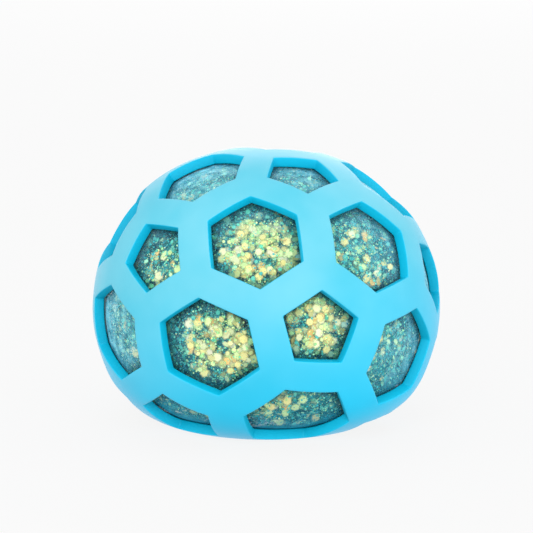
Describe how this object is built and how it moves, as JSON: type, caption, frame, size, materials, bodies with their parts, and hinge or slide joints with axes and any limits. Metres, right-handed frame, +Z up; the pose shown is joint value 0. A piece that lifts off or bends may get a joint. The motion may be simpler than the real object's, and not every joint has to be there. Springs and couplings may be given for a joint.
{
  "type": "gel stress ball",
  "caption": "Glitter-gel stress ball in a rubber net with pentagonal and hexagonal windows, resting as a flat-footed dome.",
  "frame": {"origin": "middle of the flat foot, on the surface the ball stands on", "axes": "+Z up through the crown; +Y away from the side that shows one hexagonal window just above the middle; X to the right"},
  "size_m": [0.09, 0.09, 0.071],
  "materials": {
    "net_rubber": "smooth moulded soft rubber, satin",
    "clear_skin": "clear stretchy rubber, glossy, faintly milky at a slant",
    "teal_gel": "dark teal see-through gel",
    "gold_flake": "pearly foil glitter",
    "aqua_flake": "pearly foil glitter",
    "teal_flake": "foil glitter"
  },
  "bodies": {
    "net": {"net": "net_rubber"},
    "ball": {"skin": "clear_skin", "fill_plug": "clear_skin"},
    "filling": {"gel": "teal_gel", "chunky_flakes": "gold_flake", "medium_flakes": "aqua_flake", "fine_flakes": "teal_flake"}
  },
  "joints": [
    {"name": "ball_turn", "type": "hinge", "parent": "net", "child": "ball", "pos_m": [0, 0, 0.0355], "axis": [0, 0, 1], "continuous": true},
    {"name": "squeeze", "type": "slide", "parent": "ball", "child": "filling", "axis": [0, 0, -1], "range_m": [0, 0.00994], "stiffness_N_per_m": 16000, "deforming": ["net", "skin", "gel", "chunky_flakes", "medium_flakes", "fine_flakes"]}
  ]
}
